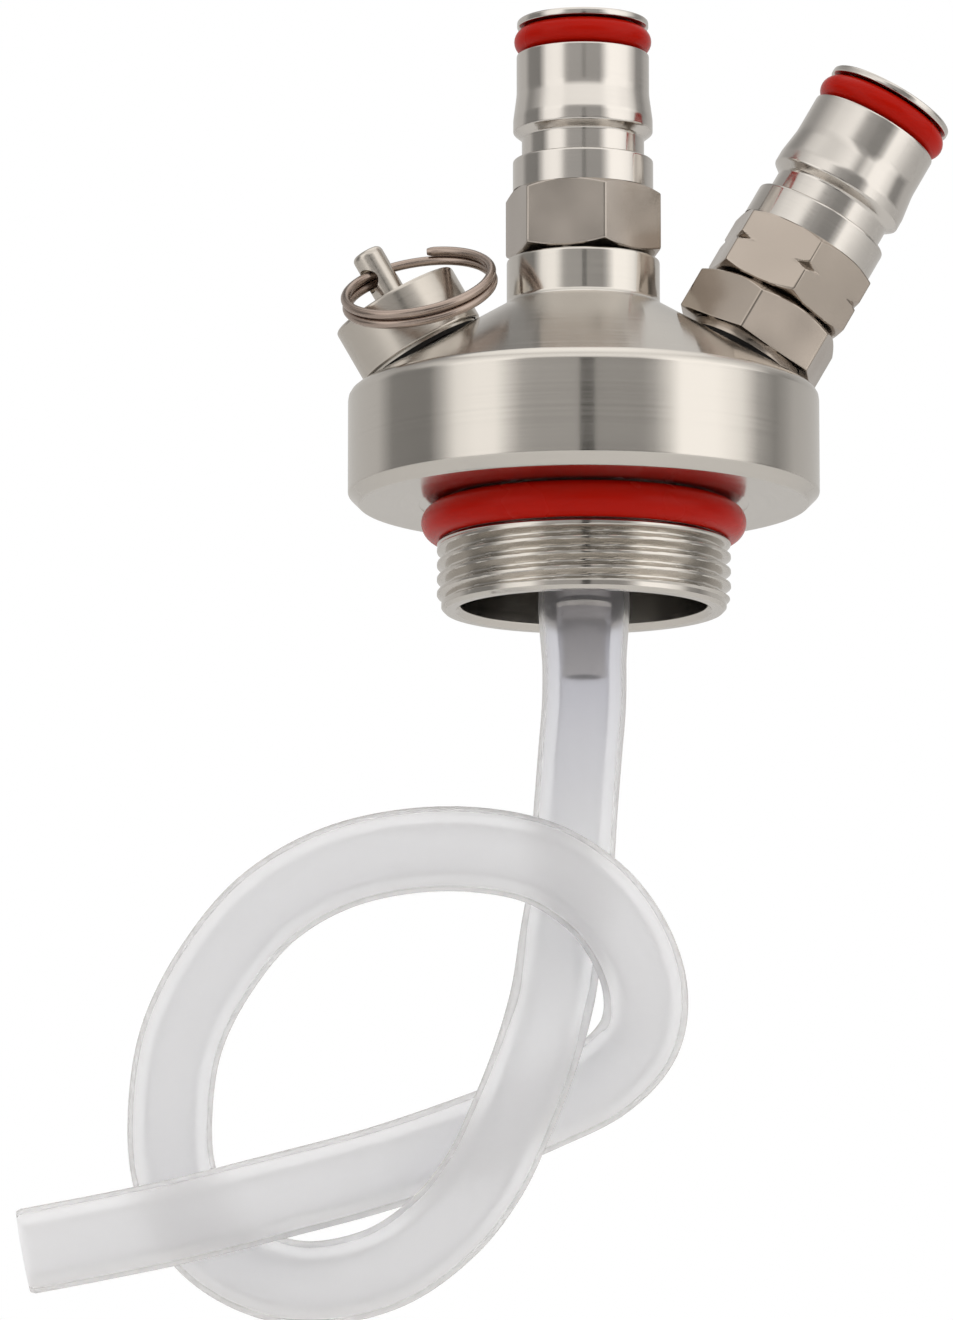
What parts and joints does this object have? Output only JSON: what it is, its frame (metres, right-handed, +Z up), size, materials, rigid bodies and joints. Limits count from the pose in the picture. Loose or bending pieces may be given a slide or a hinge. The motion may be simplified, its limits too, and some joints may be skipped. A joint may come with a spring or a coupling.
{
  "type": "mini keg tap lid",
  "caption": "Stainless screw-in mini keg lid with ball-lock liquid and gas posts, a pull-ring relief valve and a clear pick-up hose.",
  "frame": {"origin": "on the neck thread's axis, in the plane of the lid's flat underside, which seats on the keg's rim", "axes": "+Z up out of the keg, through the middle post; +X towards the gas post; -X towards the relief valve; the camera of the picture looks along +Y"},
  "size_m": [0.1329, 0.0674, 0.1878],
  "materials": {
    "lid_steel": "turned and polished stainless steel, fine circular tool marks",
    "post_steel": "bright turned stainless steel",
    "gas_steel": "satin turned stainless steel, warm grey",
    "spring_steel": "drawn spring wire",
    "ring_steel": "dull drawn wire, brown grey",
    "red_silicone": "smooth red silicone rubber, slight sheen",
    "black_rubber": "matte black rubber",
    "clear_hose": "milky translucent silicone hose, glossy"
  },
  "bodies": {
    "lid": {"lid_body": "lid_steel", "neck_seal": "red_silicone", "liquid_post": "post_steel", "liquid_post_seal": "red_silicone", "liquid_poppet_spring": "spring_steel", "liquid_dip_tube": "post_steel", "liquid_tube_seal": "black_rubber", "hose_barb": "post_steel", "beer_hose": "clear_hose", "gas_adapter": "gas_steel", "gas_adapter_washer": "black_rubber", "gas_post": "gas_steel", "gas_post_seal": "red_silicone", "gas_poppet_spring": "spring_steel", "gas_dip_tube": "post_steel", "gas_tube_seal": "black_rubber", "relief_body": "gas_steel", "relief_washer": "black_rubber", "relief_cap": "post_steel", "relief_spring": "spring_steel"},
    "liquid_valve": {"liquid_poppet": "post_steel", "liquid_poppet_seal": "black_rubber"},
    "gas_valve": {"gas_poppet": "post_steel", "gas_poppet_seal": "black_rubber"},
    "relief_plunger": {"relief_stem": "post_steel", "relief_seal": "black_rubber"},
    "finger_ring": {"pull_ring": "ring_steel"}
  },
  "joints": [
    {"name": "liquid_poppet_slide", "type": "slide", "parent": "lid", "child": "liquid_valve", "axis": [0, 0, -1], "range_m": [0, 0.0035], "stiffness_N_per_m": 800, "springref_m": -0.004, "deforming": ["liquid_poppet_spring"]},
    {"name": "gas_poppet_slide", "type": "slide", "parent": "lid", "child": "gas_valve", "axis": [-0.5, 0, -0.866], "range_m": [0, 0.0035], "stiffness_N_per_m": 800, "springref_m": -0.004, "deforming": ["gas_poppet_spring"]},
    {"name": "relief_pull", "type": "slide", "parent": "lid", "child": "relief_plunger", "axis": [-0.5, 0, 0.866], "range_m": [0, 0.002], "stiffness_N_per_m": 2500, "springref_m": -0.002, "deforming": ["relief_spring"]},
    {"name": "pull_ring_swing", "type": "hinge", "parent": "relief_plunger", "child": "finger_ring", "pos_m": [-0.02925, 0, 0.03307], "axis": [-0.7849, -0.4226, -0.4532], "range_deg": [0, 220]}
  ]
}
